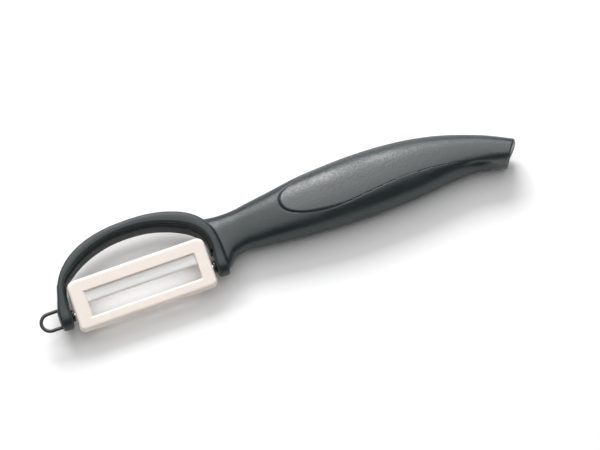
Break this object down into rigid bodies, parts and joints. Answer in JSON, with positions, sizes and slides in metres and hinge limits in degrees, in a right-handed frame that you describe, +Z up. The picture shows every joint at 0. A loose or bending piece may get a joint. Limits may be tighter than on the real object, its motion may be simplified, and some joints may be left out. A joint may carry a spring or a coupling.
{
  "type": "swivel vegetable peeler",
  "caption": "Bow-type swivel peeler with a long hollow grip, a loop at the tip, and a carrier with a ceramic blade that turns between pivots in the bow.",
  "frame": {"origin": "On the surface that the peeler lies on, under the middle of its overall box.", "axes": "+X runs along the tool from the loop at the tip to the tail, +Y points to the side of the bow, +Z is up, out of the front of the grip."},
  "size_m": [0.1898, 0.0345, 0.019],
  "materials": {
    "grip_plastic": "satin, finely textured",
    "panel_plastic": "satin, finely grained",
    "bow_plastic": "satin",
    "rib_plastic": "semi-gloss",
    "loop_wire": "black coating, satin",
    "bush_plastic": "semi-gloss",
    "pin_steel": "turned",
    "carrier_plastic": "semi-gloss",
    "blade_ceramic": "ground ceramic, satin"
  },
  "bodies": {
    "handle": {"frame_core": "rib_plastic", "bow_cover": "bow_plastic", "handle_shell_front": "grip_plastic", "handle_shell_back": "grip_plastic", "thumb_panel_front": "panel_plastic", "thumb_panel_back": "panel_plastic", "eye_loop": "loop_wire", "pivot_bush_tip": "bush_plastic", "pivot_bush_neck": "bush_plastic", "pivot_pin_tip": "pin_steel", "pivot_pin_neck": "pin_steel"},
    "blade": {"blade_carrier": "carrier_plastic", "ceramic_blade": "blade_ceramic"}
  },
  "joints": [
    {"name": "blade_swivel", "type": "hinge", "parent": "handle", "child": "blade", "pos_m": [-0.0547, -0.01019, 0.0095], "axis": [1, 0, 0], "continuous": true}
  ]
}
